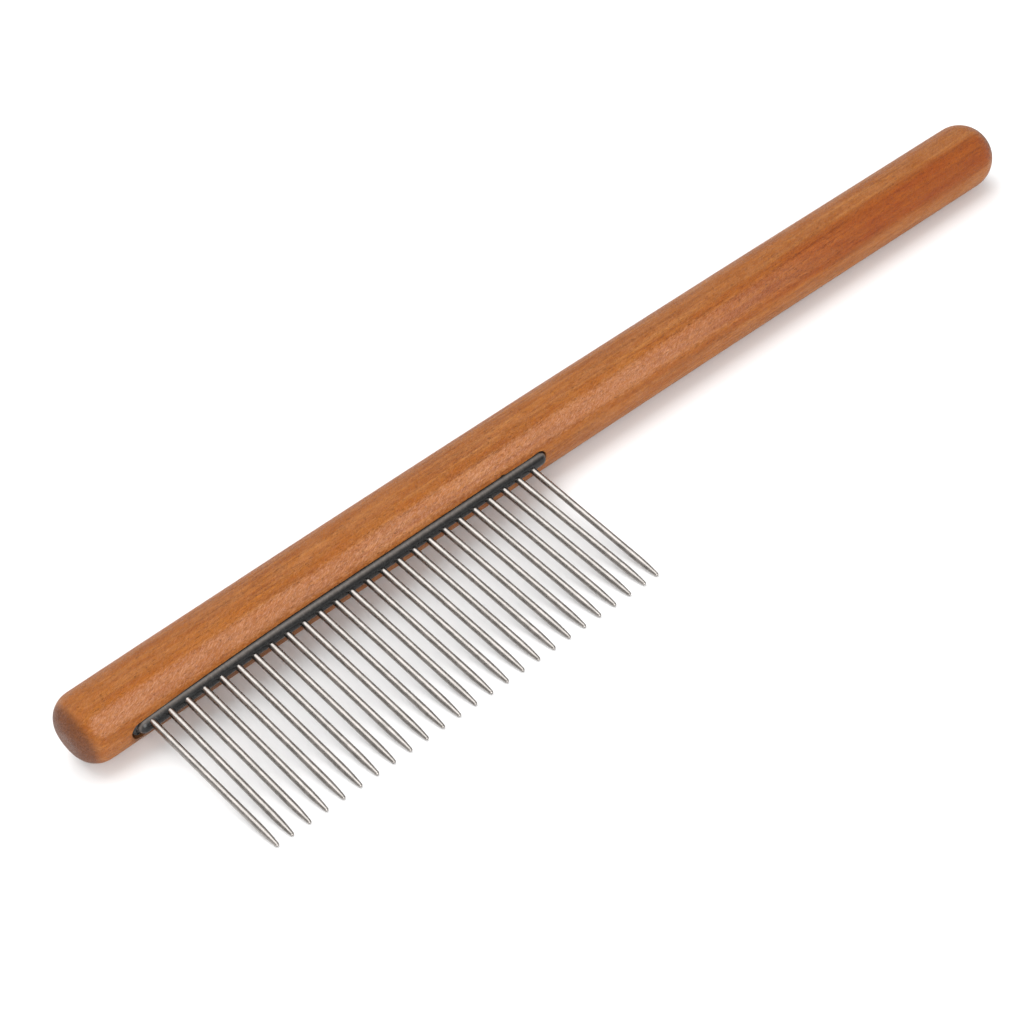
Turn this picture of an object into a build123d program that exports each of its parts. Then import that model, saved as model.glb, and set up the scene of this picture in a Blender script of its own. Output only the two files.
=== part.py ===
from build123d import *
import math
import os

# A grooming comb: a round wooden stick with steel pins held in a black bar
# that is glued into a slot milled along one side of the stick.
#
# Comb frame, millimetres: X along the stick from the comb end to the grip end,
# pins towards -Y, Z across the plane of the pins, origin midway along the stick
# on the line between the ends of its bowed stretch.
# Row frame: the same comb lying on a table, on the stick and the pins' tips,
# +Z up, origin at the bottom centre of its bounding box.

# Stick
STICK_LENGTH = 251.0
STICK_RADIUS = 7.5
BOW_RADIUS = 10000.0        # the stick is slightly bowed, apart from its two ends
BOW_DIRECTION = 36.0        # which way it bulges, in degrees above the plane of the pins
COMB_END_STRAIGHT = 10.0
GRIP_END_STRAIGHT = 60.0
COMB_END_LEAN = 5.0         # degrees by which the saw cut at the comb end is out of square
COMB_END_ROUNDING = 5.3
GRIP_END_ROUNDING = 6.9

# Pins
PIN_COUNT = 25
PIN_PITCH = 3.9
PIN_RADIUS = 0.74
PIN_EXPOSED = 36.95
PIN_ROOT = 6.0
PIN_TAPER_LENGTH = 6.5
PIN_TIP_RADIUS = 0.42
END_PIN_TOE_IN = 0.9        # degrees by which the first and last pins lean towards the others

# Bar that holds the pins
BAR_LENGTH = 100.7
BAR_THICKNESS = 3.1
BAR_DEPTH = 8.5
BAR_FRONT_ROUNDING = 1.5
BAR_BACK_ROUNDING = 0.4
BAR_LIFT = 0.5              # the bar's middle plane lies this far above the pins' plane

# Slot in the stick, and the adhesive that beds the bar in it
SLOT_WIDTH = 3.3
SLOT_LENGTH = 102.1
BED_THICKNESS = 0.5
BED_SETBACK = 2.8           # from the bar's front face to the adhesive's front edge

# Where the bar sits
ROW_CENTRE_X = -64.4        # the middle pin
BAR_FRONT_Y = -8.4          # the bar's front face at the middle pin
PIN_PLANE_Z = 0.8
BAR_SKEW = 0.15             # degrees by which the bar is out of line with the stick
BAR_SHIFT_X = 0.65          # the bar's middle, past the middle pin
SLOT_SHIFT_X = 0.3          # the slot's middle, past the middle pin

# The bowed stretch lies between the straight ends.
BOW_START_X = COMB_END_STRAIGHT - STICK_LENGTH / 2
BOW_END_X = STICK_LENGTH / 2 - GRIP_END_STRAIGHT
BOW_HALF_ANGLE = math.asin((BOW_END_X - BOW_START_X) / 2 / BOW_RADIUS)

# On the table the pins' tips come down to the level of the grip end's underside.
GRIP_END_DROP = GRIP_END_STRAIGHT * math.sin(BOW_HALF_ANGLE) * math.sin(math.radians(BOW_DIRECTION))
TIP_LIFT = STICK_RADIUS + GRIP_END_DROP + PIN_PLANE_Z - PIN_TIP_RADIUS
REST_TILT = math.degrees(math.asin(TIP_LIFT / (PIN_EXPOSED - BAR_FRONT_Y)))


def stick_end(straight, lean, rounding):
    """One end of the stick, along +X from the bowed stretch to a rounded saw cut."""
    blank = extrude(Plane.YZ * Circle(STICK_RADIUS), amount=straight + STICK_RADIUS)
    angle = math.radians(lean)
    saw_cut = Plane(origin=(straight, 0, 0), z_dir=(math.cos(angle), math.sin(angle), 0))
    end = split(blank, bisect_by=saw_cut, keep=Keep.BOTTOM)
    return fillet(end.faces().sort_by(Axis.X)[-1].edges(), rounding)


def stick_blank():
    """Round stick with its slight bow and two rounded ends."""
    bow_plane = Plane.XY.rotated((BOW_DIRECTION, 0, 0))
    centre = ((BOW_START_X + BOW_END_X) / 2, -BOW_RADIUS * math.cos(BOW_HALF_ANGLE))
    half_angle = math.degrees(BOW_HALF_ANGLE)
    centre_line = bow_plane * CenterArc(centre, BOW_RADIUS, 90 - half_angle, 2 * half_angle)
    grip_end = Plane(centre_line @ 0, x_dir=-(centre_line % 0), z_dir=bow_plane.z_dir)
    comb_end = Plane(centre_line @ 1, x_dir=centre_line % 1, z_dir=bow_plane.z_dir)
    section = Plane(origin=centre_line @ 0, z_dir=centre_line % 0) * Circle(STICK_RADIUS)
    return sweep(section, path=centre_line) + [
        comb_end * stick_end(COMB_END_STRAIGHT, COMB_END_LEAN, COMB_END_ROUNDING),
        grip_end * stick_end(GRIP_END_STRAIGHT, 0, GRIP_END_ROUNDING),
    ]


def stadium_block(length, thickness, shift_x, front_y, back_y):
    """Block with round ends, in the bar's own frame: front towards -Y."""
    outline = Plane.XZ * SlotOverall(length, thickness)
    return Pos(shift_x, front_y, BAR_LIFT) * extrude(outline, amount=front_y - back_y)


def seated(shape):
    """The shape moved from the bar's own frame to the comb frame."""
    return Pos(ROW_CENTRE_X, BAR_FRONT_Y, PIN_PLANE_Z) * Rot(0, 0, BAR_SKEW) * shape


def pin_place(index):
    """Place of a pin in the bar's own frame, with the end pins leaning in."""
    lean = {0: END_PIN_TOE_IN, PIN_COUNT - 1: -END_PIN_TOE_IN}.get(index, 0)
    x = (index - (PIN_COUNT - 1) / 2) * PIN_PITCH
    return Pos(x, 0, 0) * Rot(0, 0, lean)


def pin_hole():
    return extrude(Plane.XZ.offset(PIN_ROOT) * Circle(PIN_RADIUS), amount=-2 * PIN_ROOT)


def bar_blank():
    """The bar with its back edge rounded, its front square and no holes."""
    bar = stadium_block(BAR_LENGTH, BAR_THICKNESS, BAR_SHIFT_X, 0, BAR_DEPTH)
    ends = bar.faces().filter_by(Axis.Y).sort_by(Axis.Y)
    return fillet(ends[-1].edges(), BAR_BACK_ROUNDING)


def pin_bar():
    """Black bar with a rounded front and a blind hole for each pin."""
    bar = bar_blank()
    ends = bar.faces().filter_by(Axis.Y).sort_by(Axis.Y)
    bar = fillet(ends[0].edges(), BAR_FRONT_ROUNDING)
    return bar - [pin_place(index) * pin_hole() for index in range(PIN_COUNT)]


def pin():
    """Straight pin along -Y: plain wire, a long taper and a ball tip."""
    taper_y = PIN_TAPER_LENGTH - PIN_EXPOSED
    ball_y = PIN_TIP_RADIUS - PIN_EXPOSED
    taper = TangentArc((PIN_RADIUS, taper_y), (PIN_TIP_RADIUS, ball_y), tangent=(0, -1))
    ball = RadiusArc((PIN_TIP_RADIUS, ball_y), (0, -PIN_EXPOSED), PIN_TIP_RADIUS)
    straight = Polyline((0, -PIN_EXPOSED), (0, PIN_ROOT), (PIN_RADIUS, PIN_ROOT), (PIN_RADIUS, taper_y))
    return revolve(make_face([straight, taper, ball]), Axis.Y)


def adhesive_bed():
    """Adhesive that fills the slot behind the bar and up its sides."""
    slot_back = BAR_DEPTH + BED_THICKNESS
    return stadium_block(SLOT_LENGTH, SLOT_WIDTH, SLOT_SHIFT_X, BED_SETBACK, slot_back) - bar_blank()


def build_comb():
    """All the pieces by node name, in the comb frame."""
    slot_back = BAR_DEPTH + BED_THICKNESS
    slot = stadium_block(SLOT_LENGTH, SLOT_WIDTH, SLOT_SHIFT_X, -STICK_RADIUS, slot_back)
    comb = {
        "handle": stick_blank() - seated(slot),
        "pin_bar": seated(pin_bar()),
        "adhesive_bed": seated(adhesive_bed()),
    }
    for index in range(PIN_COUNT):
        comb[f"pin_{index + 1:02d}"] = seated(pin_place(index) * pin())
    return comb


def laid_on_table(comb):
    """The pieces tilted to rest on the pins' tips and moved to the row frame."""
    tilted = {name: Rot(REST_TILT, 0, 0) * shape for name, shape in comb.items()}
    boxes = [shape.bounding_box() for shape in tilted.values()]
    middle_x = (min(box.min.X for box in boxes) + max(box.max.X for box in boxes)) / 2
    middle_y = (min(box.min.Y for box in boxes) + max(box.max.Y for box in boxes)) / 2
    underside = min(box.min.Z for box in boxes)
    to_origin = Pos(-middle_x, -middle_y, -underside)
    return {name: to_origin * shape for name, shape in tilted.items()}


os.makedirs("parts", exist_ok=True)
for name, shape in laid_on_table(build_comb()).items():
    export_step(shape, f"parts/{name}.step")
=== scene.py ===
import math

import bmesh
import bpy
import numpy as np
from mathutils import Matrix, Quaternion, Vector, noise


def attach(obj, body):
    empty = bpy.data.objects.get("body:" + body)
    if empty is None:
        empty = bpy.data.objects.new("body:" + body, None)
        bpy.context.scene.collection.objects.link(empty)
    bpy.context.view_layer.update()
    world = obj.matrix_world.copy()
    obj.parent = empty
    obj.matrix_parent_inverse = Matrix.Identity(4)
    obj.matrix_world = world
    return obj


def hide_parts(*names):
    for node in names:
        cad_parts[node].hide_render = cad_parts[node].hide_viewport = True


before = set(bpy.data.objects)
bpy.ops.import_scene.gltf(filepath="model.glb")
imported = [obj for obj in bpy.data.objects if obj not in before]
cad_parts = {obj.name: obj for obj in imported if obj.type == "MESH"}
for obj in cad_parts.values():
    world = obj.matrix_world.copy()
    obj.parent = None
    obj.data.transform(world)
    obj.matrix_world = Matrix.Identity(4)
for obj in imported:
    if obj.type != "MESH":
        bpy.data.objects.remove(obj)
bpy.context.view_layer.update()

# A grooming comb: steel pins in a black bar, which is glued into a slot in a round wooden stick.
#
# Shapes are worked out in the comb frame, in millimetres: X along the stick from the comb end to
# the grip end, pins towards -Y, Z across the plane of the pins. The comb lies tilted on the
# table, and to_row() takes a point to the row frame, in metres.
COMB_TILT = 10.416216
COMB_ORIGIN = (0.0943, 18.5431, 7.8481)

# Stick
STICK_LENGTH = 251.0
STICK_RADIUS = 7.5
BOW_RADIUS = 10000.0
BOW_DIRECTION = math.radians(36.0)
COMB_END_STRAIGHT = 10.0
GRIP_END_STRAIGHT = 60.0
COMB_END_LEAN = math.radians(5.0)
COMB_END_ROUNDING = 5.3
GRIP_END_ROUNDING = 6.9
BOW_START_X = COMB_END_STRAIGHT - STICK_LENGTH / 2
BOW_END_X = STICK_LENGTH / 2 - GRIP_END_STRAIGHT
BOW_MIDDLE_X = (BOW_START_X + BOW_END_X) / 2
BOW_HALF_ANGLE = math.asin((BOW_END_X - BOW_START_X) / 2 / BOW_RADIUS)
HAND_SANDING = 0.05         # how far the sanded surface dips below the true cylinder

# Pins
PIN_COUNT = 25
PIN_PITCH = 3.9
PIN_RADIUS = 0.74
PIN_EXPOSED = 36.95
PIN_ROOT = 6.0
PIN_TAPER_LENGTH = 6.5
PIN_TIP_RADIUS = 0.42
END_PIN_TOE_IN = math.radians(0.9)
PIN_SIDES = 28

# Bar, slot and adhesive
BAR_LENGTH = 100.7
BAR_THICKNESS = 3.1
BAR_DEPTH = 8.5
BAR_FRONT_ROUNDING = 1.5
BAR_BACK_ROUNDING = 0.4
BAR_LIFT = 0.5
SLOT_WIDTH = 3.3
SLOT_LENGTH = 102.1
BED_THICKNESS = 0.5
ROW_CENTRE_X = -64.4
BAR_FRONT_Y = -8.4
PIN_PLANE_Z = 0.8
BAR_SKEW = math.radians(0.15)
BAR_SHIFT_X = 0.65
SLOT_SHIFT_X = 0.3
SLOT_DRIFT = 1.3            # how far the slot has wandered down at the comb end
SLOT_DRIFT_START_X = -72.0
SLOT_FLARE = 0.8            # how much the slot's lower side opens out at the comb end
SLOT_PINCH = 0.1            # how tightly the slot's upper side closes on the bar past the nick
NICK_X, NICK_LENGTH, NICK_DEPTH = -24.2, 0.5, 0.34
# Middle and width of a light band along the top of the bar's front rounding, partly scuffing and partly a
# painted highlight.
SCUFF_SHEEN_Y, SCUFF_SHEEN_WIDTH = 1.0, 0.34
ADHESIVE_GAP = 0.03         # between the adhesive and the slot's walls
ADHESIVE_PLAY = 0.005       # between the adhesive and the bar

# Camera
CAMERA_TARGET = (-0.023904, 0.011146, 0.0)
CAMERA_DISTANCE = 0.48048
CAMERA_AZIMUTH = math.radians(-33.14)
CAMERA_ELEVATION = math.radians(39.74)
CAMERA_ROLL = math.radians(-11.16)
CAMERA_LENS = 83.415

# Wood, in the row frame in millimetres. Directions run from the stick's middle to one side of
# it, and are divided by its radius, so a point on that side measures about 1.
GRAIN_TURN = math.radians(-42.0)
RAY_SLANT = math.radians(-28.0)
STICK_MIDDLE = (0.0, 18.5, 7.85)
# Side of the stick where a pale band is painted for the varnish's sheen.
TOWARDS_PAINTED_SHEEN = (0.0, -0.111, 0.074)
# Side just under the slot where painted shade darkens the wood.
TOWARDS_SLOT_SHADE = (0.0, -0.121, -0.056)

LIGHT_TARGET = (-0.03, 0.0, 0.01)


def to_row(points):
    """Comb-frame points in millimetres, as row-frame points in metres."""
    tilt = math.radians(COMB_TILT)
    x, y, z = np.asarray(points, float).T
    turned = (x, y * math.cos(tilt) - z * math.sin(tilt), y * math.sin(tilt) + z * math.cos(tilt))
    return (np.column_stack(turned) + COMB_ORIGIN) / 1000


def seated(points):
    """Points of the bar's own frame, as comb-frame points."""
    x, y, z = np.asarray(points, float).T
    cos, sin = math.cos(BAR_SKEW), math.sin(BAR_SKEW)
    turned_x, turned_y = x * cos - y * sin, x * sin + y * cos
    return np.column_stack((turned_x + ROW_CENTRE_X, turned_y + BAR_FRONT_Y, z + PIN_PLANE_Z))


def ripple(x, y, z, seed):
    """Smooth noise from -1 to 1."""
    return noise.noise(Vector((x, y, z + 17.3 * seed)))


def smooth_step(value, start, end):
    t = np.clip((value - start) / (end - start), 0.0, 1.0)
    return t * t * (3 - 2 * t)


class Shell:
    """A mesh that grows by rows of points joined with quads."""

    def __init__(self):
        self.points = []
        self.faces = []
        self.marks = {}

    def add(self, points, **marks):
        """Adds points and returns their indices. Marks are values kept as point attributes."""
        start = len(self.points)
        self.points.extend(map(tuple, points))
        indices = list(range(start, len(self.points)))
        for name, values in marks.items():
            values = np.broadcast_to(values, len(indices))
            self.marks.setdefault(name, {}).update(zip(indices, values))
        return indices

    def bridge(self, first, second, closed=True):
        """Quads between two rows with as many points each, or triangles where a side has no length."""
        count = len(first)
        for i in range(count if closed else count - 1):
            j = (i + 1) % count
            corners = list(dict.fromkeys((first[i], first[j], second[j], second[i])))
            if len(corners) > 2:
                self.faces.append(corners)

    def fan(self, row, centre, flipped=False):
        for i, corner in enumerate(row):
            after = row[(i + 1) % len(row)]
            self.faces.append((after, corner, centre) if flipped else (corner, after, centre))

    def build(self, name, material):
        """The mesh as a smooth-shaded object in the row frame."""
        mesh = bpy.data.meshes.new(name)
        mesh.from_pydata(to_row(self.points).tolist(), [], self.faces)
        for mark, values in self.marks.items():
            attribute = mesh.attributes.new(mark, "FLOAT", "POINT")
            full = np.zeros(len(self.points), np.float32)
            full[list(values.keys())] = list(values.values())
            attribute.data.foreach_set("value", full)
        tidied = bmesh.new()
        tidied.from_mesh(mesh)
        bmesh.ops.recalc_face_normals(tidied, faces=tidied.faces)
        tidied.to_mesh(mesh)
        tidied.free()
        mesh.shade_smooth()
        mesh.materials.append(material)
        piece = bpy.data.objects.new(name, mesh)
        bpy.context.scene.collection.objects.link(piece)
        return piece


# ---------------------------------------------------------------- shapes

def stick_axis(x):
    """(y, z) of the stick's axis at x: an arc, with straight tangents past its ends."""
    inside = min(max(x, BOW_START_X), BOW_END_X) - BOW_MIDDLE_X
    rise = math.sqrt(BOW_RADIUS ** 2 - inside ** 2) - BOW_RADIUS * math.cos(BOW_HALF_ANGLE)
    beyond = abs(x - BOW_MIDDLE_X) - abs(inside)
    rise -= beyond * math.tan(BOW_HALF_ANGLE)
    return rise * math.cos(BOW_DIRECTION), rise * math.sin(BOW_DIRECTION)


def sanding(x, angle):
    """Depth of the hand-sanded dips, from 0 to HAND_SANDING."""
    around = (1.6 * math.cos(angle), 1.6 * math.sin(angle))
    broad = ripple(x * 0.045, *around, seed=1)
    fine = ripple(x * 0.16, around[0] * 1.7, around[1] * 1.7, seed=2)
    return HAND_SANDING * (0.5 + 0.36 * broad + 0.14 * fine)


def surface_row(x, angles):
    """Points round the stick at x. Angles go from -Y towards +Z."""
    axis_y, axis_z = stick_axis(x)
    points = []
    for angle in angles:
        out = STICK_RADIUS - sanding(x, angle)
        points.append((x, axis_y - math.cos(angle) * out, axis_z + math.sin(angle) * out))
    return points


def slot_drift(x):
    """How far the slot, and the bar in it, lie from straight at x in the comb frame."""
    past = max(SLOT_DRIFT_START_X - x, 0.0) / (SLOT_DRIFT_START_X - BOW_START_X)
    return -SLOT_DRIFT * past ** 2


def end_profile(rounding, slope, steps):
    """(distance out, radius) from the side of the stick, round the edge, to the end face's middle.
    Distances are from the face's middle, and slope is how far the face runs out per radius."""
    lean = math.atan(slope)
    centre_r = STICK_RADIUS - rounding
    centre_x = centre_r * slope - rounding / math.cos(lean)
    arc = [math.pi / 2 - (math.pi / 2 + lean) * i / steps for i in range(steps + 1)]
    profile = [(centre_x + rounding * math.cos(a), centre_r + rounding * math.sin(a)) for a in arc]
    edge_x, edge_r = profile[-1]
    inner = [0.75, 0.5, 0.25]
    return profile + [(edge_x * share, edge_r * share) for share in inner]


def end_cap(shell, face_x, outward, rounding, lean, angles, steps):
    """The stick's end: its rounded edge, then its flat face. Returns the outermost row."""
    columns = []
    for angle in angles:
        towards_bow = -math.cos(angle + BOW_DIRECTION)
        columns.append(end_profile(rounding, math.tan(lean) * towards_bow, steps))
    rows = []
    for level in range(len(columns[0])):
        points = []
        for angle, column in zip(angles, columns):
            out, radius = column[level]
            x = face_x + outward * out
            axis_y, axis_z = stick_axis(x)
            across, above = radius * math.cos(angle), radius * math.sin(angle)
            x -= outward * 0.02 * (1 + ripple(across * 0.3, above * 0.3, 0, seed=3))
            left = 1 - sanding(x, angle) / STICK_RADIUS
            points.append((x, axis_y - across * left, axis_z + above * left))
        grain = smooth_step(level / (len(columns[0]) - 1), 0.2, 0.42)
        rows.append(shell.add(points, end_grain=grain))
    for before, after in zip(rows, rows[1:]):
        shell.bridge(before, after)
    axis_y, axis_z = stick_axis(face_x)
    middle = shell.add([(face_x - outward * 0.02, axis_y, axis_z)], end_grain=1.0)[0]
    shell.fan(rows[-1], middle)
    return rows[0]


def stadium(length, half_width, middle_x, arc_steps, count):
    """Stations of a shape with round ends: (x, share of the half-width) along one side."""
    left, right = middle_x - length / 2 + half_width, middle_x + length / 2 - half_width
    turn = [math.pi / 2 * i / arc_steps for i in range(arc_steps + 1)]
    stations = [("left", a) for a in turn[:-1]]
    stations += [("straight", left + (right - left) * i / count) for i in range(count + 1)]
    stations += [("right", a) for a in reversed(turn[:-1])]
    return left, right, stations


def outline_side(layout, half_widths):
    """(x, half-width) for each station of a stadium layout, given the half-width there."""
    left, right, stations = layout
    reach = {"left": -half_widths[0], "right": half_widths[-1]}
    start = {"left": left, "right": right}
    side = []
    for (kind, value), half in zip(stations, half_widths):
        if kind == "straight":
            side.append((value, half))
        else:
            side.append((start[kind] + reach[kind] * math.cos(value), half * math.sin(value)))
    return side


def loop_of(shell, upper, lower, **marks):
    """A closed loop from an upper and a lower side that share their two end points."""
    first = shell.add(upper, **marks)
    second = shell.add(lower[1:-1], **marks)
    return first, [first[0]] + second + [first[-1]]


def floor_of(shell, upper, lower, flipped):
    """Fills a stadium outline with quads across it."""
    if flipped:
        upper, lower = lower, upper
    across = 4
    points = np.array([shell.points[i] for i in upper]), np.array([shell.points[i] for i in lower])
    row = upper
    for step in range(1, across + 1):
        if step == across:
            following = lower
        else:
            share = step / across
            between = points[0] * (1 - share) + points[1] * share
            following = [upper[0]] + shell.add(between[1:-1]) + [upper[-1]]
        shell.bridge(row, following, closed=False)
        row = following


def rim_rounding(x, side):
    """Radius of the slot's softened edge, with a nick near the slot's grip end."""
    rounding = 0.09 + 0.04 * ripple(x * 0.35, side * 3.0, 0, seed=4)
    if side > 0:
        rounding += NICK_DEPTH * math.exp(-((x - NICK_X) / NICK_LENGTH) ** 2)
    return rounding


def slot_half_width(x, side):
    """Half the slot's width, a little uneven, and tight to the bar past the nick."""
    half = SLOT_WIDTH / 2 + 0.03 * ripple(x * 0.22, side * 5.0, 0, seed=5)
    if side < 0:
        half += SLOT_FLARE * float(smooth_step(-x, 109.0, 114.0))
    else:
        past_nick = float(smooth_step(x, -24.4, -23.4)) * (1 - float(smooth_step(x, -17.5, -15.0)))
        half -= SLOT_PINCH * past_nick
    return half


def wooden_handle(material):
    """The stick with its rounded ends and its slot, as one closed mesh."""
    columns, cap_steps = 112, 14
    shell = Shell()
    middle_x = ROW_CENTRE_X + SLOT_SHIFT_X
    middle_z = PIN_PLANE_Z + BAR_LIFT
    layout = stadium(SLOT_LENGTH, SLOT_WIDTH / 2, middle_x, 14, 245)
    station_x = [x for x, _ in outline_side(layout, [SLOT_WIDTH / 2] * len(layout[2]))]
    half = {side: [slot_half_width(x, side) for x in station_x] for side in (1, -1)}
    rounding = {side: [rim_rounding(x, side) for x in station_x] for side in (1, -1)}
    for table in (half, rounding):
        for end in (0, -1):
            table[-1][end] = table[1][end] = (table[-1][end] + table[1][end]) / 2

    def level(inset, depth):
        """Both sides of the slot at one level: inset and depth as shares of the edge's radius."""
        sides = {}
        for side in (1, -1):
            widths = [h + r * inset for h, r in zip(half[side], rounding[side])]
            points = []
            for (x, w), r in zip(outline_side(layout, widths), rounding[side]):
                axis_y, axis_z = stick_axis(x)
                across = middle_z + slot_drift(x) + side * w - axis_z
                angle = math.asin(across / STICK_RADIUS)
                out = STICK_RADIUS - sanding(x, angle)
                y = axis_y - math.sqrt(out ** 2 - across ** 2) + r * depth
                points.append((x, y, axis_z + across))
            sides[side] = points
        return sides

    def ring_angles(upper_z, lower_z, axis_z):
        start = math.asin((upper_z - axis_z) / STICK_RADIUS)
        end = 2 * math.pi + math.asin((lower_z - axis_z) / STICK_RADIUS)
        return [start + (end - start) * i / columns for i in range(columns + 1)]

    rim = level(1.0, 0.0)
    seam_angles = ring_angles(middle_z, middle_z, 0)[:-1]

    comb_face_x = BOW_START_X - COMB_END_STRAIGHT * math.cos(BOW_HALF_ANGLE)
    grip_face_x = BOW_END_X + GRIP_END_STRAIGHT * math.cos(BOW_HALF_ANGLE)

    comb_end_lean = COMB_END_LEAN + BOW_HALF_ANGLE
    row = end_cap(shell, comb_face_x, -1, COMB_END_ROUNDING, comb_end_lean, seam_angles, cap_steps)
    row = row + [row[0]]
    comb_side_x = comb_face_x + COMB_END_ROUNDING + 0.9
    slot_left, slot_right = rim[1][0][0], rim[1][-1][0]
    for x in np.linspace(comb_side_x, slot_left - 0.35, 5):
        ring = shell.add(surface_row(x, seam_angles))
        ring.append(ring[0])
        shell.bridge(ring, row, closed=False)
        row = ring
    slot_rows = []
    for upper, lower in zip(rim[1], rim[-1]):
        x = upper[0]
        axis_y, axis_z = stick_axis(x)
        angles = ring_angles(upper[2], lower[2], axis_z)
        if abs(upper[2] - lower[2]) < 1e-9:
            ring = shell.add(surface_row(x, angles[:-1]))
            ring.append(ring[0])
        else:
            ring = shell.add(surface_row(x, angles))
        shell.bridge(ring, row, closed=False)
        slot_rows.append(ring)
        row = ring
    for x in np.linspace(slot_right + 0.35, grip_face_x - GRIP_END_ROUNDING - 0.3, 130):
        ring = shell.add(surface_row(x, seam_angles))
        ring.append(ring[0])
        shell.bridge(ring, row, closed=False)
        row = ring
    last = end_cap(shell, grip_face_x, 1, GRIP_END_ROUNDING, -BOW_HALF_ANGLE, seam_angles, cap_steps)
    shell.bridge(last + [last[0]], row, closed=False)

    upper, lower = [r[0] for r in slot_rows], [r[-1] for r in slot_rows]
    shell.marks.setdefault("rim", {}).update({i: 0.6 for i in upper + lower})
    edge_steps = 4
    turns = [math.pi / 2 * i / edge_steps for i in range(1, edge_steps + 1)]
    levels = [(1 - math.sin(t), 1 - math.cos(t), 1.0, 0.0) for t in turns]
    levels += [(0.0, 1.0, 0.7, deeper) for deeper in (0.3, 0.8, 1.8, 3.6, 6.0)]
    for inset, depth, edge, deeper in levels:
        sides = level(inset, depth)
        for side in (1, -1):
            sides[side] = [(x, y + deeper, z) for x, y, z in sides[side]]
        routed = smooth_step(deeper, 0.0, 0.3)
        following = loop_of(shell, sides[1], sides[-1], rim=edge, routed=routed)
        shell.bridge(following[0], upper, closed=False)
        shell.bridge(lower, following[1], closed=False)
        upper, lower = following
    floor_y = BAR_FRONT_Y + BAR_DEPTH + BED_THICKNESS
    sides = {side: [(x, floor_y, z) for x, y, z in level(0.0, 1.0)[side]] for side in (1, -1)}
    following = loop_of(shell, sides[1], sides[-1], rim=0.0, routed=1.0)
    shell.bridge(following[0], upper, closed=False)
    shell.bridge(lower, following[1], closed=False)
    floor_of(shell, *following, flipped=True)
    return shell.build("wooden_handle", material)


def in_slot(points):
    """Points measured from the slot's middle, as comb-frame points."""
    x, y, z = np.asarray(points, float).T
    drift = np.array([slot_drift(along + ROW_CENTRE_X) for along in x])
    return seated(np.column_stack((x, y, z + BAR_LIFT + drift)))


def stadium_level(layout, half_width, y, bumps=None):
    """Upper and lower sides of a stadium outline at depth y, in the bar's own frame."""
    side = outline_side(layout, [half_width] * len(layout[2]))
    upper = [(x, y, w) for x, w in side]
    lower = [(x, y, -w) for x, w in side]
    if bumps is not None:
        upper = [bumps(*p) for p in upper]
        lower = [bumps(*p) for p in lower]
    return in_slot(upper), in_slot(lower)


def pin_x(index):
    return (index - (PIN_COUNT - 1) / 2) * PIN_PITCH


def bar_surface(x, y, z):
    """The bar's moulded surface: a shallow sink round each pin and a slight unevenness."""
    nearest = min(max(round(x / PIN_PITCH + (PIN_COUNT - 1) / 2), 0), PIN_COUNT - 1)
    pin_z = -BAR_LIFT - slot_drift(x + ROW_CENTRE_X)
    reach = math.hypot(x - pin_x(nearest), z - pin_z)
    sink = 0.03 * (1 - float(smooth_step(reach, PIN_RADIUS * 1.05, PIN_RADIUS * 1.75)))
    front = 1 - float(smooth_step(y, 0.0, BAR_FRONT_ROUNDING))
    uneven = 0.03 * (0.5 + 0.5 * ripple(x * 0.5, z * 0.7, y * 0.3, seed=6))
    return x, y + front * (sink + uneven), z * (1 - 0.004 * (1 + ripple(x * 0.3, z, 0, seed=7)))


def black_bar(material):
    """Bar with round ends, a rounded front and a softened back edge, as one closed mesh."""
    shell = Shell()
    layout = stadium(BAR_LENGTH, BAR_THICKNESS / 2, BAR_SHIFT_X, 12, 436)
    half = BAR_THICKNESS / 2
    profile = []
    front_steps, back_steps = 16, 4
    for i in range(front_steps + 1):
        turn = math.pi / 2 * i / front_steps
        inset = BAR_FRONT_ROUNDING * (1 - math.sin(turn))
        profile.append((half - inset, BAR_FRONT_ROUNDING * (1 - math.cos(turn))))
    profile += [(half, y) for y in (3.4, 5.0, 6.6)]
    for i in range(back_steps + 1):
        turn = math.pi / 2 * i / back_steps
        inset = BAR_BACK_ROUNDING * (1 - math.cos(turn))
        profile.append((half - inset, BAR_DEPTH - BAR_BACK_ROUNDING * (1 - math.sin(turn))))
    previous = None
    for half_width, y in profile:
        # Share of the light band, partly scuffing and partly a painted highlight, at this depth of the
        # profile.
        edge = math.exp(-((y - SCUFF_SHEEN_Y) / SCUFF_SHEEN_WIDTH) ** 2)
        following = loop_of(shell, *stadium_level(layout, half_width, y, bar_surface), scuffed=edge)
        if previous is None:
            floor_of(shell, *following, flipped=False)
        else:
            shell.bridge(following[0], previous[0], closed=False)
            shell.bridge(previous[1], following[1], closed=False)
        previous = following
    floor_of(shell, *previous, flipped=True)
    return shell.build("black_bar", material)


def adhesive_height(x, side):
    """How far below the bar's front the adhesive's surface lies along its length."""
    low = 2.3 + 0.35 * ripple(x * 0.35, side * 2.0, 0, seed=8)
    comb_end = BAR_SHIFT_X - BAR_LENGTH / 2
    return low - 0.75 * math.exp(-((x - comb_end + 0.3) / 1.6) ** 2)


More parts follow.
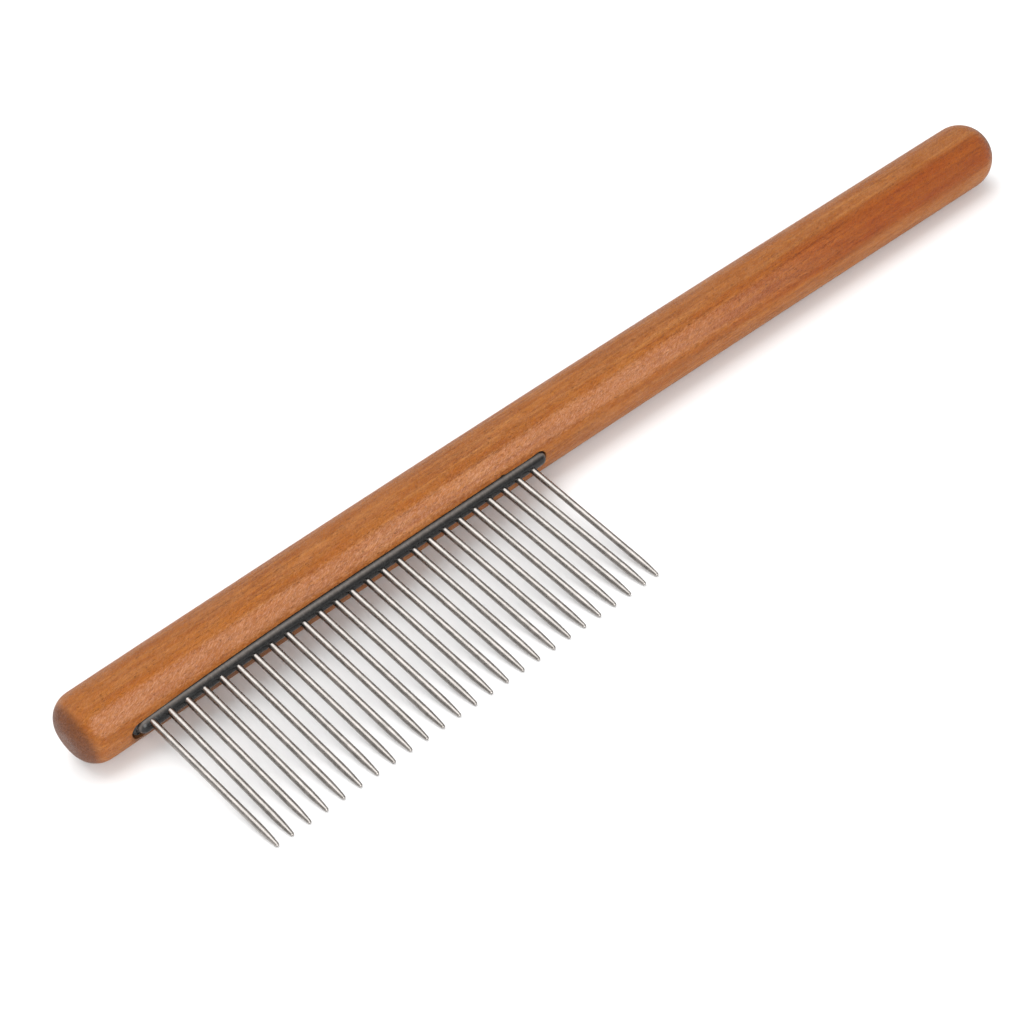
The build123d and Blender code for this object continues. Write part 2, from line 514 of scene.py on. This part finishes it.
def adhesive(material):
    """Cured adhesive round and behind the bar: a cup with a wavy, hollowed top edge."""
    shell = Shell()
    outer, inner = SLOT_WIDTH / 2 - ADHESIVE_GAP, BAR_THICKNESS / 2 + ADHESIVE_PLAY
    layout = stadium(SLOT_LENGTH - 2 * ADHESIVE_GAP, outer, SLOT_SHIFT_X, 12, 160)
    inner_layout = stadium(BAR_LENGTH + 2 * ADHESIVE_PLAY, inner, BAR_SHIFT_X, 12, 160)
    count = len(layout[2])

    def blended(share, drop):
        """Sides between the inner and the outer outline, at the adhesive's height plus drop."""
        outside = outline_side(layout, [outer] * count)
        inside = outline_side(inner_layout, [inner] * count)
        sides = []
        for side in (1, -1):
            points = []
            for (xa, wa), (xb, wb) in zip(inside, outside):
                x, w = xa + (xb - xa) * share, wa + (wb - wa) * share
                height = adhesive_height(x, side if w > 1e-6 else 0)
                points.append((x, height + drop, side * w))
            sides.append(points)
        sides[1][0], sides[1][-1] = sides[0][0], sides[0][-1]
        return [in_slot(side) for side in sides]

    def flat(which, y):
        outline, half = {"outer": (layout, outer), "inner": (inner_layout, inner)}[which]
        side = outline_side(outline, [half] * count)
        return in_slot([(x, y, w) for x, w in side]), in_slot([(x, y, -w) for x, w in side])

    deep = BAR_DEPTH + BED_THICKNESS - ADHESIVE_GAP
    rows = [loop_of(shell, *flat("outer", deep))]
    floor_of(shell, *rows[0], flipped=True)
    rows.append(loop_of(shell, *flat("outer", 4.0)))
    hollow = ((1.0, 0.0), (0.85, 0.22), (0.65, 0.34), (0.5, 0.36), (0.3, 0.26), (0.12, 0.1), (0.0, -0.12))
    for share, drop in hollow:
        rows.append(loop_of(shell, *blended(share, drop)))
    rows.append(loop_of(shell, *flat("inner", 4.0)))
    rows.append(loop_of(shell, *flat("inner", BAR_DEPTH + 2 * ADHESIVE_PLAY)))
    for before, after in zip(rows, rows[1:]):
        shell.bridge(before[0], after[0], closed=False)
        shell.bridge(after[1], before[1], closed=False)
    floor_of(shell, *rows[-1], flipped=False)
    return shell.build("adhesive", material)


def pin_profile():
    """(y, radius) from the pin's root to its tip."""
    taper_y, ball_y = PIN_TAPER_LENGTH - PIN_EXPOSED, PIN_TIP_RADIUS - PIN_EXPOSED
    profile = [(PIN_ROOT, PIN_RADIUS - 0.12), (PIN_ROOT - 0.12, PIN_RADIUS)]
    straight = np.linspace(PIN_ROOT - 1.0, taper_y, 24)
    profile += [(y, PIN_RADIUS) for y in straight]
    thinning = PIN_RADIUS - PIN_TIP_RADIUS
    length = taper_y - ball_y
    arc_radius = (thinning ** 2 + length ** 2) / (2 * thinning)
    for step in range(1, 13):
        run = length * step / 12
        profile.append((taper_y - run, PIN_RADIUS - arc_radius + math.sqrt(arc_radius ** 2 - run ** 2)))
    for step in range(1, 8):
        turn = math.pi / 2 * step / 8
        profile.append((ball_y - PIN_TIP_RADIUS * math.sin(turn), PIN_TIP_RADIUS * math.cos(turn)))
    return profile


def steel_pin(index, material):
    """One drawn-wire pin with its taper and ball tip, as one closed mesh."""
    shell = Shell()
    lean = {0: END_PIN_TOE_IN, PIN_COUNT - 1: -END_PIN_TOE_IN}.get(index, 0.0)
    turns = [2 * math.pi * i / PIN_SIDES for i in range(PIN_SIDES)]

    def placed(points):
        x, y, z = np.asarray(points, float).T
        turned_x = x * math.cos(lean) - y * math.sin(lean) + pin_x(index)
        turned_y = x * math.sin(lean) + y * math.cos(lean)
        return seated(np.column_stack((turned_x, turned_y, z)))

    previous = None
    for y, radius in pin_profile():
        ring = shell.add(placed([(radius * math.cos(t), y, radius * math.sin(t)) for t in turns]))
        if previous is None:
            shell.fan(ring, shell.add(placed([(0, y, 0)]))[0], flipped=True)
        else:
            shell.bridge(previous, ring)
        previous = ring
    shell.fan(previous, shell.add(placed([(0, -PIN_EXPOSED, 0)]))[0])
    return shell.build(f"steel_pin_{index + 1:02d}", material)


# ---------------------------------------------------------------- materials

class Graph:
    """The shader nodes of one material."""

    def __init__(self, name):
        self.material = bpy.data.materials.new(name)
        self.material.use_nodes = True
        self.tree = self.material.node_tree
        self.tree.nodes.clear()
        place = self.node("ShaderNodeTexCoord").outputs["Object"]
        self.place = self.vector_math("SCALE", place, Scale=1000.0)

    def node(self, kind, settings=None, **inputs):
        made = self.tree.nodes.new(kind)
        for key, value in (settings or {}).items():
            setattr(made, key, value)
        for key, value in inputs.items():
            self.feed(made.inputs[key.replace("_", " ")], value)
        return made

    def feed(self, socket, value):
        if isinstance(value, bpy.types.NodeSocket):
            self.tree.links.new(value, socket)
        else:
            socket.default_value = value

    def vector_math(self, operation, first, second=None, **inputs):
        made = self.node("ShaderNodeVectorMath", {"operation": operation}, **inputs)
        self.feed(made.inputs[0], first)
        if second is not None:
            self.feed(made.inputs[1], second)
        return made.outputs["Value" if operation in ("LENGTH", "DOT_PRODUCT") else "Vector"]

    def math(self, operation, first, second=0.0, third=0.0):
        made = self.node("ShaderNodeMath", {"operation": operation})
        for socket, value in zip(made.inputs, (first, second, third)):
            self.feed(socket, value)
        return made.outputs[0]

    def placed(self, scale, turn=(0, 0, 0)):
        """Coordinates in millimetres, turned and then scaled."""
        turned = self.node("ShaderNodeMapping", Vector=self.place, Rotation=turn)
        return self.vector_math("MULTIPLY", turned.outputs[0], scale)

    def noise(self, vector, detail=3.0, roughness=0.5, distortion=0.0):
        return self.node("ShaderNodeTexNoise", Vector=vector, Scale=1.0, Detail=detail,
                         Roughness=roughness, Distortion=distortion).outputs["Fac"]

    def between(self, value, low, high, out_low=0.0, out_high=1.0):
        """value from low..high taken smoothly to out_low..out_high."""
        made = self.node("ShaderNodeMapRange", {"interpolation_type": "SMOOTHSTEP"}, Value=value)
        limits = {"From Min": low, "From Max": high, "To Min": out_low, "To Max": out_high}
        for key, number in limits.items():
            self.feed(made.inputs[key], number)
        return made.outputs[0]

    def mix(self, share, first, second, blend="MIX"):
        made = self.node("ShaderNodeMix", {"data_type": "RGBA", "blend_type": blend})
        for index, value in ((0, share), (6, first), (7, second)):
            self.feed(made.inputs[index], value)
        return made.outputs[2]

    def bump(self, height, distance, strength=1.0):
        return self.node("ShaderNodeBump", Height=height, Distance=distance, Strength=strength).outputs[0]

    def mark(self, name):
        """A value kept on the mesh's points."""
        return self.node("ShaderNodeAttribute", {"attribute_name": name}).outputs["Fac"]

    def finish(self, **inputs):
        shader = self.node("ShaderNodeBsdfPrincipled", **inputs)
        output = self.node("ShaderNodeOutputMaterial")
        self.tree.links.new(shader.outputs[0], output.inputs["Surface"])
        return self.material


def colour(red, green, blue):
    """An sRGB colour, from 0 to 255, as linear RGBA."""
    shares = [part / 255 for part in (red, green, blue)]
    linear = [c / 12.92 if c <= 0.04045 else ((c + 0.055) / 1.055) ** 2.4 for c in shares]
    return (*linear, 1.0)


def stained_wood():
    """Stained beech under a satin varnish. The grain runs along the stick, and its rays show as
    short slanting flecks, mostly inside a painted highlight: a pale band above the slot for the varnish's
    sheen, with a more orange painted fringe. Towards the grip the band turns to painted shade, a deeper
    orange, and the wood just under the slot has painted shade, a dark grey-brown."""
    g = Graph("stained_wood")
    face = (GRAIN_TURN, 0, 0)
    fibre = g.noise(g.placed((0.05, 1.5, 1.5), face), 5.0, 0.62, 0.4)
    fine_fibre = g.noise(g.placed((0.35, 5.5, 5.5), face), 3.0, 0.6)
    mottle = g.noise(g.placed((0.9, 2.6, 2.6), face), 4.0, 0.65, 0.6)
    broad = g.noise(g.placed((0.022, 0.09, 0.09), face), 2.0, 0.5)
    blotch = g.noise(g.placed((0.14, 0.4, 0.4), face), 3.0, 0.6, 0.5)
    rings = g.node("ShaderNodeTexWave", {"bands_direction": "Y"}, Vector=g.placed((0.02, 0.5, 0.5), face),
                   Scale=0.32, Distortion=3.5, Detail=2.0, Detail_Scale=1.2).outputs["Fac"]
    ray_turn = (GRAIN_TURN, 0, RAY_SLANT)
    rays = g.noise(g.placed((1.2, 5.2, 2.0), ray_turn), 3.0, 0.65, 0.6)
    pores = g.noise(g.placed((1.1, 8.0, 8.0), face), 1.0, 0.5)

    tone = g.math("MULTIPLY_ADD", fibre, 0.55, g.math("MULTIPLY", mottle, 0.45))
    base = g.mix(g.between(tone, 0.36, 0.64), colour(142, 78, 32), colour(192, 122, 62))
    base = g.mix(g.between(rings, 0.2, 0.8, 0.0, 0.3), base, colour(164, 90, 40))
    base = g.mix(g.between(broad, 0.35, 0.65, 0.0, 0.45), base, colour(172, 100, 40))
    base = g.mix(g.between(fine_fibre, 0.5, 0.72, 0.0, 0.5), base, colour(132, 72, 30))
    fleck = g.between(rays, 0.44, 0.64)
    across = g.vector_math("SUBTRACT", g.place, STICK_MIDDLE)
    along = g.node("ShaderNodeSeparateXYZ", Vector=g.place).outputs["X"]
    # Painted highlight: a pale band on the side above the slot stands for the varnish's sheen and fades
    # towards the grip. A fringe round it is painted more orange, and its grip half is painted deeper
    # orange, as painted shade.
    painted_sheen = g.vector_math("DOT_PRODUCT", across, TOWARDS_PAINTED_SHEEN)
    painted_sheen = g.math("ADD", painted_sheen, g.math("MULTIPLY_ADD", mottle, 0.1, -0.05))
    deep = g.math("MULTIPLY", g.between(painted_sheen, 0.78, 0.97), g.between(along, 5.0, 90.0))
    sheen_fringe = g.math("MULTIPLY", g.between(painted_sheen, 0.78, 0.9), g.between(painted_sheen, 0.92, 0.97, 1.0, 0.0))
    painted_sheen = g.math("MULTIPLY", g.between(painted_sheen, 0.92, 0.985), g.between(along, 10.0, 90.0, 1.0, 0.1))
    rayed = g.math("MULTIPLY", fleck, g.math("MULTIPLY_ADD", painted_sheen, 0.24, 0.08))
    pore = g.between(pores, 0.66, 0.76)
    base = g.mix(g.math("MULTIPLY", pore, 0.55), base, colour(90, 46, 22))

    end = g.mark("end_grain")
    end_noise = g.noise(g.placed((2.0, 2.0, 2.0)), 4.0, 0.7, 1.2)
    end_tone = g.mix(g.between(end_noise, 0.35, 0.65), colour(84, 42, 22), colour(122, 70, 40))
    base = g.mix(g.math("MULTIPLY", end, 0.9), base, end_tone)

    routed = g.mark("routed")
    base = g.mix(g.math("MULTIPLY", routed, 0.9), base, colour(84, 48, 28))
    rim = g.mark("rim")
    worn = g.math("MULTIPLY", rim, g.between(mottle, 0.4, 0.6, 0.0, 0.25))
    base = g.mix(worn, base, colour(196, 142, 96))

    height = g.math("ADD", g.math("MULTIPLY", fibre, 0.6), g.math("MULTIPLY", fine_fibre, 0.4))
    height = g.math("SUBTRACT", height, g.math("MULTIPLY", pore, 0.5))
    height = g.math("MULTIPLY_ADD", rays, 1.1, height)
    grain_bump = g.bump(height, 0.00025, 1.0)
    rough = g.between(mottle, 0.3, 0.7, 0.4, 0.5)
    rough = g.math("SUBTRACT", rough, g.math("MULTIPLY", fleck, 0.08))
    stained = g.mix(1.0, base, (0.79, 0.84, 0.9, 1.0), "MULTIPLY")
    # Painted shade: the band's grip half is tinted deeper orange, and its fringe more orange.
    stained = g.mix(deep, stained, (0.8, 0.5, 0.05, 1.0), "MULTIPLY")
    stained = g.mix(sheen_fringe, stained, (0.95, 0.86, 0.5, 1.0), "MULTIPLY")
    stained = g.mix(g.between(blotch, 0.42, 0.6), stained, (0.96, 0.86, 0.55, 1.0), "MULTIPLY")
    # Painted highlight: the pale band's colour, with the ray flecks, which fade where the grip half is
    # painted darker.
    rayed = g.math("MULTIPLY", rayed, g.math("MULTIPLY_ADD", deep, -0.8, 1.0))
    stained = g.mix(g.math("MULTIPLY_ADD", painted_sheen, 0.12, rayed), stained, colour(204, 152, 126))
    # Painted shade: the wood just under the slot is darkened to a grey-brown where the bar and pins shade
    # it, up to the slot's ends.
    below = g.vector_math("DOT_PRODUCT", across, TOWARDS_SLOT_SHADE)
    below = g.math("MULTIPLY", g.between(below, 0.93, 0.98), g.between(along, -17.0, -13.0, 0.7, 0.0))
    below = g.math("MULTIPLY", below, g.between(along, -116.5, -114.0))
    stained = g.mix(below, stained, colour(56, 45, 38))
    return g.finish(Base_Color=stained, Roughness=rough, IOR=1.5, Specular_IOR_Level=0.2, Normal=grain_bump)


def black_moulding():
    """Satin black bar with a faint grey bloom, and a light grey band along the top of its front rounding
    that is partly scuffing and partly a painted highlight.
    """
    g = Graph("black_bar")
    speckle = g.noise(g.placed((1.2, 1.2, 1.2)), 4.0, 0.6)
    streaks = g.noise(g.placed((0.15, 4.0, 4.0)), 3.0, 0.6)
    base = g.mix(g.between(speckle, 0.35, 0.7), colour(9, 9, 10), colour(22, 22, 22))
    base = g.mix(g.between(streaks, 0.6, 0.75, 0.0, 0.4), base, colour(44, 42, 40))
    # Partly scuffing and partly a painted highlight: a warm grey band along the top of the front rounding,
    # patchy with the speckle.
    scuffed = g.math("MULTIPLY", g.mark("scuffed"), g.between(speckle, 0.25, 0.65, 0.5, 0.72))
    base = g.mix(scuffed, base, colour(112, 105, 100))
    rough = g.between(speckle, 0.3, 0.7, 0.2, 0.3)
    height = g.math("ADD", speckle, g.math("MULTIPLY", streaks, 0.5))
    return g.finish(Base_Color=base, Roughness=rough, IOR=1.5, Specular_IOR_Level=0.35,
                    Normal=g.bump(height, 0.00004, 0.12))


def cured_adhesive():
    """Dark glossy adhesive with small ripples."""
    g = Graph("cured_adhesive")
    cloud = g.noise(g.placed((0.8, 0.8, 0.8)), 3.0, 0.5)
    base = g.mix(g.between(cloud, 0.35, 0.65), colour(14, 13, 13), colour(34, 30, 28))
    return g.finish(Base_Color=base, Roughness=g.between(cloud, 0.3, 0.7, 0.08, 0.18), IOR=1.5,
                    Normal=g.bump(cloud, 0.0002, 0.4))


def drawn_steel():
    """Satin drawn wire: fine lines along the pin and slightly cloudy gloss."""
    g = Graph("drawn_steel")
    along_pin = (math.radians(-COMB_TILT), 0, 0)
    lines = g.noise(g.placed((9.0, 0.25, 9.0), along_pin), 3.0, 0.6)
    cloud = g.noise(g.placed((1.3, 0.5, 1.3), along_pin), 3.0, 0.6)
    base = g.mix(g.between(cloud, 0.3, 0.7), colour(138, 134, 130), colour(162, 157, 153))
    base = g.mix(g.between(lines, 0.55, 0.8, 0.0, 0.3), base, colour(128, 122, 117))
    rough = g.between(cloud, 0.3, 0.7, 0.22, 0.32)
    return g.finish(Base_Color=base, Metallic=1.0, Roughness=rough, Normal=g.bump(lines, 0.000004, 0.1))


def white_paper():
    """Pale floor with a barely visible unevenness."""
    g = Graph("white_floor")
    cloud = g.noise(g.placed((0.02, 0.02, 0.02)), 3.0, 0.5)
    base = g.mix(cloud, colour(236, 236, 237), colour(240, 240, 240))
    return g.finish(Base_Color=base, Roughness=0.9, IOR=1.4, Normal=g.bump(cloud, 0.0001, 0.05))


# ---------------------------------------------------------------- stage

def floor(material):
    bpy.ops.mesh.primitive_grid_add(x_subdivisions=20, y_subdivisions=20, size=6.0)
    plane = bpy.context.object
    plane.name = "floor"
    plane.data.materials.append(material)


def soft_box(name, direction, distance, size, power):
    """Rectangular area light that faces the comb from a direction."""
    light = bpy.data.lights.new(name, "AREA")
    light.shape = "RECTANGLE"
    light.size, light.size_y = size
    light.energy = power
    lamp = bpy.data.objects.new(name, light)
    towards = Vector(direction).normalized()
    lamp.location = Vector(LIGHT_TARGET) + towards * distance
    lamp.rotation_euler = towards.to_track_quat("Z", "Y").to_euler()
    bpy.context.scene.collection.objects.link(lamp)


def surroundings(strength):
    world = bpy.data.worlds.new("studio")
    world.use_nodes = True
    world.node_tree.nodes["Background"].inputs["Color"].default_value = (1.0, 0.99, 0.98, 1.0)
    world.node_tree.nodes["Background"].inputs["Strength"].default_value = strength
    bpy.context.scene.world = world


def camera():
    lens = bpy.data.cameras.new("camera")
    lens.lens = CAMERA_LENS
    lens.sensor_width = 36.0
    lens.clip_start, lens.clip_end = 0.01, 20.0
    view = bpy.data.objects.new("camera", lens)
    flat = math.cos(CAMERA_ELEVATION)
    back_x, back_y = math.sin(CAMERA_AZIMUTH) * flat, -math.cos(CAMERA_AZIMUTH) * flat
    back = Vector((back_x, back_y, math.sin(CAMERA_ELEVATION)))
    view.location = Vector(CAMERA_TARGET) + back * CAMERA_DISTANCE
    view.rotation_mode = "QUATERNION"
    view.rotation_quaternion = (-back).to_track_quat("-Z", "Y") @ Quaternion((0, 0, 1), CAMERA_ROLL)
    bpy.context.scene.collection.objects.link(view)
    bpy.context.scene.camera = view


def stands_for(piece, node):
    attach(piece, "root")
    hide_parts(node)


camera()
surroundings(0.66)
soft_box("overhead", (0.0, 0.25, 0.97), 1.3, (1.3, 1.3), 14.0)
soft_box("front", (-0.34, -0.82, 0.44), 1.2, (0.9, 0.9), 13.5)
floor(white_paper())

stands_for(wooden_handle(stained_wood()), "handle")
stands_for(black_bar(black_moulding()), "pin_bar")
stands_for(adhesive(cured_adhesive()), "adhesive_bed")
steel = drawn_steel()
for index in range(PIN_COUNT):
    stands_for(steel_pin(index, steel), f"pin_{index + 1:02d}")

bpy.context.scene.view_settings.view_transform = "Standard"
